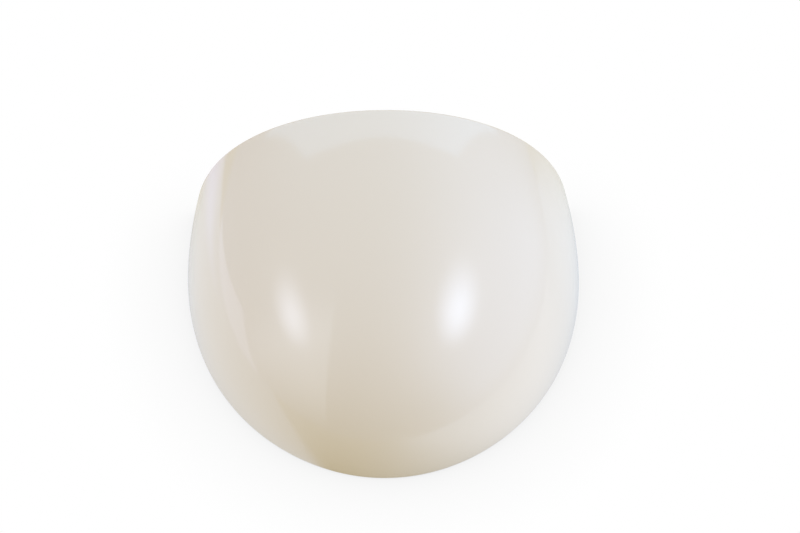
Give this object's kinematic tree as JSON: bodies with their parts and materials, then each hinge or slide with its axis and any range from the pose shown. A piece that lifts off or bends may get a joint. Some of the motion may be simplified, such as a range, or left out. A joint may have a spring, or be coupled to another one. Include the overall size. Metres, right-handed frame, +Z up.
{
  "type": "seat cowl",
  "caption": "Glossy cream domed tail cowl for a motorbike seat: a moulded shell, open below and in front, with a rounded tail and threaded inserts in its bosses.",
  "frame": {"origin": "middle of the rim plane, halfway between the front corners and the tail", "axes": "+X to the right, +Y to the open front end, +Z up from the rim to the crown"},
  "size_m": [0.2496, 0.2224, 0.0929],
  "materials": {
    "cream_shell": "gloss",
    "brass": "satin"
  },
  "bodies": {
    "root": {"cowl_shell": "cream_shell", "threaded_inserts": "brass"}
  },
  "joints": []
}
